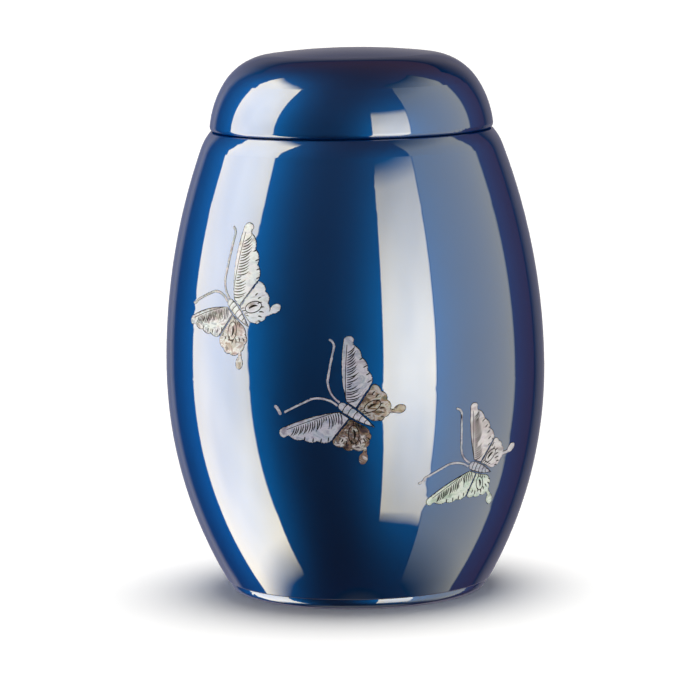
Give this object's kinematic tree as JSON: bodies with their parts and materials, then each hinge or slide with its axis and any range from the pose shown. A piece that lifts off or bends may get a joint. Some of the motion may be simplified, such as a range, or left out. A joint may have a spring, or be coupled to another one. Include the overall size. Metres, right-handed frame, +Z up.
{
  "type": "funeral urn",
  "caption": "Barrel-shaped funeral urn in glossy blue lacquer with a lift-off domed lid and butterflies inlaid in mother-of-pearl on its front.",
  "frame": {"origin": "on the urn's axis, at the plane it stands on", "axes": "+Z up along the urn's axis, -Y to the front that carries the butterflies, +X to the right seen from the front"},
  "size_m": [0.19, 0.1901, 0.272],
  "materials": {
    "lacquer": "deep glossy blue lacquer over glass-fibre resin",
    "shell": "polished mother-of-pearl under clear lacquer"
  },
  "bodies": {
    "root": {"inlay_left_body": "shell", "inlay_left_feeler_left": "shell", "inlay_left_feeler_right": "shell", "inlay_left_fore_left": "shell", "inlay_left_fore_right": "shell", "inlay_left_hind_left": "shell", "inlay_left_hind_right": "shell", "inlay_middle_body": "shell", "inlay_middle_chip": "shell", "inlay_middle_feeler_left": "shell", "inlay_middle_feeler_right": "shell", "inlay_middle_fore_left": "shell", "inlay_middle_fore_right": "shell", "inlay_middle_hind_left": "shell", "inlay_middle_hind_right": "shell", "inlay_right_body": "shell", "inlay_right_feeler_left": "shell", "inlay_right_feeler_right": "shell", "inlay_right_fore_left": "shell", "inlay_right_fore_right": "shell", "inlay_right_hind_left": "shell", "inlay_right_hind_right": "shell", "urn_body": "lacquer", "urn_lid": "lacquer"}
  },
  "joints": []
}
